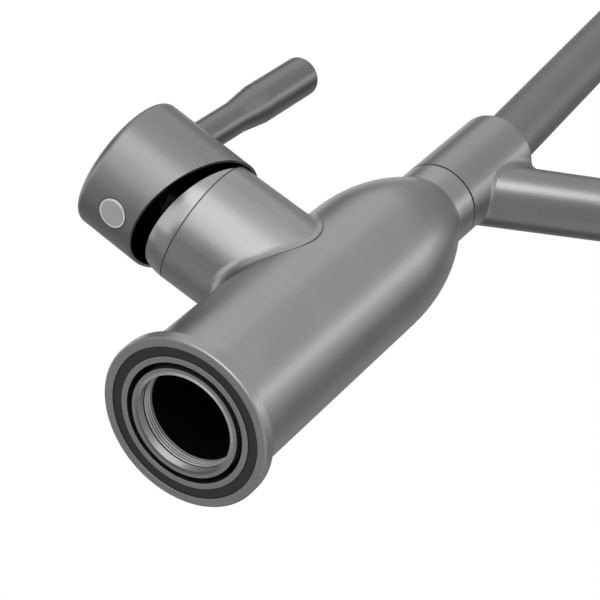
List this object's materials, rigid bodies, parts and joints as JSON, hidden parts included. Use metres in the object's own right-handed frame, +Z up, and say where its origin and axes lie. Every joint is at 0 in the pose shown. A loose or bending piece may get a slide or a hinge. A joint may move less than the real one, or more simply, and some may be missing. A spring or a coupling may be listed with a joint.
{
  "type": "kitchen mixer tap",
  "caption": "Single-lever kitchen mixer tap with a round body, a side lever with a pin handle, a swivelling swan-neck spout and an arm that holds its outlet.",
  "frame": {"origin": "centre of the base face that stands on the worktop, on the body's axis", "axes": "+Z up the body's axis, +X along the side housing towards the lever, spout arm towards -X"},
  "size_m": [0.2807, 0.0516, 0.4311],
  "materials": {
    "satin_steel": "satin brushed",
    "polished_steel": "polished",
    "plug_steel": "fine satin",
    "brass": "machined",
    "rubber": "matt",
    "ceramic": "lapped",
    "plastic": "moulded"
  },
  "bodies": {
    "tap_body": {"body": "satin_steel", "base_gasket": "rubber", "threaded_insert": "satin_steel", "cartridge_base": "plastic", "port_seals": "rubber", "fixed_disc": "ceramic", "cartridge_shell": "plastic", "cartridge_nut": "brass", "dome_ring": "polished_steel", "swivel_spigot": "brass", "spigot_seals": "rubber", "slide_ring": "plastic", "retaining_clip": "satin_steel"},
    "turning_core": {"rotor": "plastic", "pivot_pin": "satin_steel"},
    "lever": {"stem": "satin_steel", "lever_cap": "satin_steel", "pin_handle": "satin_steel", "grub_screw": "satin_steel", "indicator_plug": "plug_steel"},
    "mixing_disc": {"moving_disc": "ceramic", "disc_carrier": "plastic"},
    "spout": {"swivel_collar": "satin_steel", "spout_tube": "satin_steel", "outlet_ring": "satin_steel", "ring_screw": "satin_steel", "aerator_shell": "satin_steel", "aerator_insert": "plastic", "aerator_washer": "rubber"}
  },
  "joints": [
    {"name": "spout_swivel", "type": "hinge", "parent": "tap_body", "child": "spout", "pos_m": [0, 0, 0.155], "axis": [0, 0, 1], "continuous": true},
    {"name": "temperature_turn", "type": "hinge", "parent": "tap_body", "child": "turning_core", "pos_m": [0.042, 0, 0.0707], "axis": [1, 0, 0], "range_deg": [-50, 50]},
    {"name": "flow_tilt", "type": "hinge", "parent": "turning_core", "child": "lever", "pos_m": [0.042, 0, 0.0707], "axis": [0, 1, 0], "range_deg": [0, 25]},
    {"name": "disc_slide", "type": "slide", "parent": "turning_core", "child": "mixing_disc", "axis": [0, 0, 1], "range_m": [0, 0.0054]}
  ],
  "couplings": [
    {"joint": "disc_slide", "follows": "flow_tilt", "m_per_rad": 0.01221}
  ]
}
